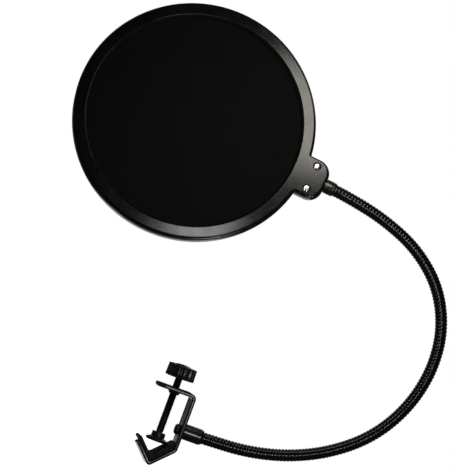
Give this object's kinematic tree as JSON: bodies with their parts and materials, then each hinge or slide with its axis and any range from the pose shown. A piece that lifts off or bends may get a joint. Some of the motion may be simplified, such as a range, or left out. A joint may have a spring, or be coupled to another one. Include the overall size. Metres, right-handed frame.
{
  "type": "pop filter",
  "caption": "Round double-layer mesh screen on a flexible gooseneck, with a screw clamp whose V jaw grips a microphone stand.",
  "frame": {"origin": "corner of the clamp's V jaw pad, midway along its width, 1.7 mm to one side of the clamp screw's axis", "axes": "+Z along the clamp screw, from its foot to its knob, Y along the clamped tube, +X out of the bracket's back where the neck leaves"},
  "size_m": [0.2795, 0.0529, 0.2909],
  "materials": {
    "bracket_paint": "satin black baked paint with a fine texture",
    "jaw_rubber": "matt black rubber",
    "blackened_steel": "blackened steel, satin",
    "plain_steel": "plain zinc-plated steel",
    "knob_plastic": "black moulded plastic, satin",
    "ferrule_metal": "smooth black plated sleeve, semi-gloss",
    "neck_coil": "black coated wire coil, semi-gloss on its crests",
    "spring_steel": "plain spring steel",
    "hoop_plastic": "black moulded plastic with a fine spark-eroded grain",
    "screen_mesh": "fine black nylon mesh",
    "bright_screw": "bright nickel-plated steel"
  },
  "bodies": {
    "clamp": {"clamp_bracket": "bracket_paint", "jaw_pad": "jaw_rubber"},
    "screw_carrier": {"foot_retaining_washer": "plain_steel"},
    "screw": {"clamp_screw": "blackened_steel", "knob": "knob_plastic"},
    "foot": {"swivel_foot": "blackened_steel"},
    "neck_root": {"neck_bolt": "blackened_steel", "neck_spring_washer": "plain_steel", "lower_ferrule": "ferrule_metal", "neck_wrap_00": "neck_coil", "neck_spring_00": "spring_steel"},
    "neck_01": {"neck_wrap_01": "neck_coil", "neck_spring_01": "spring_steel"},
    "neck_02": {"neck_wrap_02": "neck_coil", "neck_spring_02": "spring_steel"},
    "neck_03": {"neck_wrap_03": "neck_coil", "neck_spring_03": "spring_steel"},
    "neck_04": {"neck_wrap_04": "neck_coil", "neck_spring_04": "spring_steel"},
    "neck_05": {"neck_wrap_05": "neck_coil", "neck_spring_05": "spring_steel"},
    "neck_06": {"neck_wrap_06": "neck_coil", "neck_spring_06": "spring_steel"},
    "neck_07": {"neck_wrap_07": "neck_coil", "neck_spring_07": "spring_steel"},
    "neck_08": {"neck_wrap_08": "neck_coil", "neck_spring_08": "spring_steel"},
    "neck_09": {"neck_wrap_09": "neck_coil", "neck_spring_09": "spring_steel"},
    "neck_10": {"neck_wrap_10": "neck_coil", "neck_spring_10": "spring_steel"},
    "neck_11": {"neck_wrap_11": "neck_coil", "neck_spring_11": "spring_steel"},
    "screen": {"neck_wrap_12": "neck_coil", "neck_spring_12": "spring_steel", "upper_ferrule": "ferrule_metal", "neck_anchor": "plain_steel", "front_hoop": "hoop_plastic", "rear_hoop": "hoop_plastic", "front_mesh": "screen_mesh", "rear_mesh": "screen_mesh", "mesh_spacer": "hoop_plastic", "tab_screws": "bright_screw"}
  },
  "joints": [
    {"name": "screw_feed", "type": "slide", "parent": "clamp", "child": "screw_carrier", "axis": [0, 0, 1], "range_m": [0, 0.024]},
    {"name": "screw_turn", "type": "hinge", "parent": "screw_carrier", "child": "screw", "pos_m": [0.0017, 0, 0.03], "axis": [0, 0, 1], "range_deg": [0, 10801]},
    {"name": "foot_tilt", "type": "hinge", "parent": "screw_carrier", "child": "foot", "pos_m": [0.0017, 0, 0.0119], "axis": [0, 1, 0], "range_deg": [-3, 3]},
    {"name": "neck_swivel", "type": "hinge", "parent": "clamp", "child": "neck_root", "pos_m": [0.01545, 0, 0.0203], "axis": [1, 0, 0], "range_deg": [-90, 90]},
    {"name": "neck_bend_01", "type": "hinge", "parent": "neck_root", "child": "neck_01", "pos_m": [0.031, 0, 0.0203], "axis": [0.002, -1, 0.001], "range_deg": [-8, 4]},
    {"name": "neck_bend_02", "type": "hinge", "parent": "neck_01", "child": "neck_02", "pos_m": [0.05897, 0, 0.02152], "axis": [0.002, -1, 0.001], "range_deg": [-11, 4]},
    {"name": "neck_side_03", "type": "hinge", "parent": "neck_02", "child": "neck_03", "pos_m": [0.0862, 0, 0.02806], "axis": [-0.2334, 0, 0.9724], "range_deg": [-12, 12]},
    {"name": "neck_bend_04", "type": "hinge", "parent": "neck_03", "child": "neck_04", "pos_m": [0.11137, 0, 0.04033], "axis": [0.002, -1, 0.001], "range_deg": [-14, 4]},
    {"name": "neck_bend_05", "type": "hinge", "parent": "neck_04", "child": "neck_05", "pos_m": [0.13281, 0, 0.05833], "axis": [0.002, -1, 0.001], "range_deg": [-18.5, 4]},
    {"name": "neck_side_06", "type": "hinge", "parent": "neck_05", "child": "neck_06", "pos_m": [0.14744, 0, 0.0822], "axis": [-0.8526, 0, 0.5225], "range_deg": [-12, 12]},
    {"name": "neck_bend_07", "type": "hinge", "parent": "neck_06", "child": "neck_07", "pos_m": [0.15422, 0, 0.10937], "axis": [0.002, -1, 0.001], "range_deg": [-19, 4]},
    {"name": "neck_bend_08", "type": "hinge", "parent": "neck_07", "child": "neck_08", "pos_m": [0.15178, 0, 0.13727], "axis": [0.002, -1, 0.001], "range_deg": [-22, 4]},
    {"name": "neck_side_09", "type": "hinge", "parent": "neck_08", "child": "neck_09", "pos_m": [0.13907, 0, 0.16221], "axis": [-0.891, 0, -0.454], "range_deg": [-12, 12]},
    {"name": "neck_bend_10", "type": "hinge", "parent": "neck_09", "child": "neck_10", "pos_m": [0.11762, 0, 0.18021], "axis": [0.002, -1, 0.001], "range_deg": [-18, 4]},
    {"name": "neck_bend_11", "type": "hinge", "parent": "neck_10", "child": "neck_11", "pos_m": [0.09166, 0, 0.1907], "axis": [0.002, -1, 0.001], "range_deg": [-10.5, 4]},
    {"name": "neck_side_12", "type": "hinge", "parent": "neck_11", "child": "screen", "pos_m": [0.06422, 0, 0.19628], "axis": [-0.1994, 0, -0.9799], "range_deg": [-12, 12]}
  ],
  "couplings": [
    {"joint": "screw_turn", "follows": "screw_feed", "rad_per_m": 7854}
  ]
}
